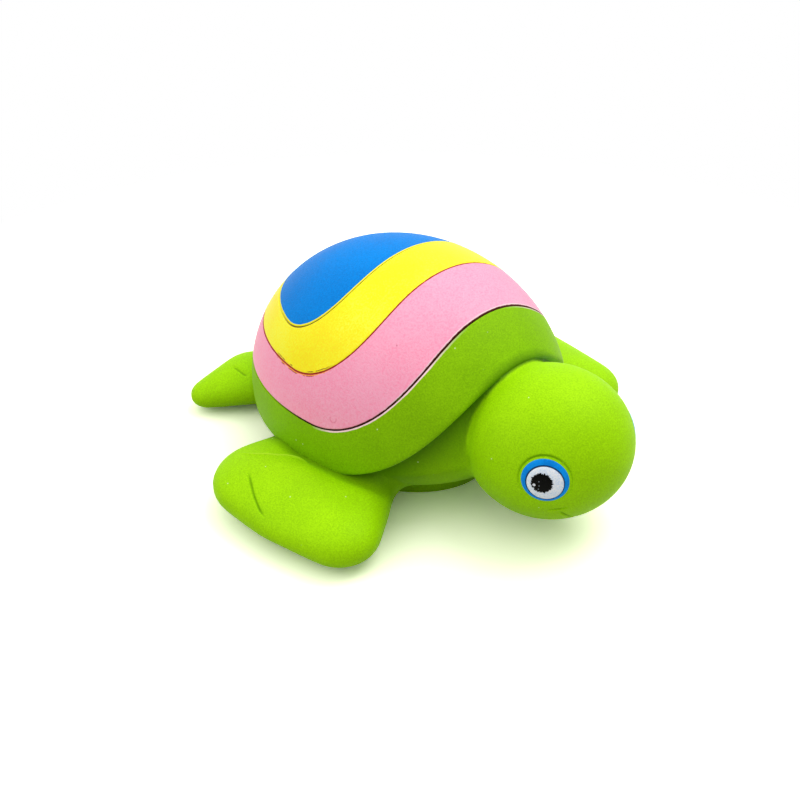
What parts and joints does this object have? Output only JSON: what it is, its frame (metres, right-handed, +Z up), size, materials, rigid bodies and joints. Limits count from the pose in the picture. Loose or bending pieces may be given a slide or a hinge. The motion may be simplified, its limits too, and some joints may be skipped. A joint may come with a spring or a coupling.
{
  "type": "squeaky bath toy",
  "caption": "Hollow soft vinyl sea turtle bath toy with a striped shell whose crown presses in, spread flippers, a flat belly and a reed squeaker in the belly.",
  "frame": {"origin": "middle of the footprint, on the surface that the toy stands on", "axes": "+Z up, nose towards -Y, the toy's left side towards +X"},
  "size_m": [0.1048, 0.1096, 0.0503],
  "materials": {
    "green_vinyl": "matte soft vinyl, fine grained",
    "pink_paint": "satin vinyl paint",
    "yellow_paint": "satin vinyl paint",
    "blue_paint": "satin vinyl paint",
    "eye_blue_paint": "glossy paint",
    "eye_white_paint": "glossy paint",
    "eye_black_paint": "glossy paint",
    "squeaker_plastic": "moulded polypropylene",
    "reed_brass": "thin rolled strip"
  },
  "bodies": {
    "toy_body": {"carapace": "green_vinyl", "pink_stripe": "pink_paint", "torso": "green_vinyl", "belly_pad": "green_vinyl", "head": "green_vinyl", "front_flipper_left": "green_vinyl", "front_flipper_right": "green_vinyl", "rear_flipper_left": "green_vinyl", "rear_flipper_right": "green_vinyl", "eye_ring_left": "eye_blue_paint", "eye_ring_right": "eye_blue_paint", "eye_white_left": "eye_white_paint", "eye_white_right": "eye_white_paint", "pupil_left": "eye_black_paint", "pupil_right": "eye_black_paint", "squeaker_casing": "squeaker_plastic", "reed_block": "squeaker_plastic", "reed_clamp": "squeaker_plastic"},
    "crown": {"squeeze_crown": "green_vinyl", "yellow_stripe": "yellow_paint", "blue_patch": "blue_paint"},
    "reed": {"reed": "reed_brass"}
  },
  "joints": [
    {"name": "squeeze", "type": "slide", "parent": "toy_body", "child": "crown", "axis": [0, 0, -1], "range_m": [0, 0.006], "stiffness_N_per_m": 900},
    {"name": "reed_flex", "type": "hinge", "parent": "toy_body", "child": "reed", "pos_m": [0, 0.00839, 0.0083], "axis": [1, 0, 0], "range_deg": [-4, 2], "stiffness_Nm_per_rad": 0.02}
  ]
}
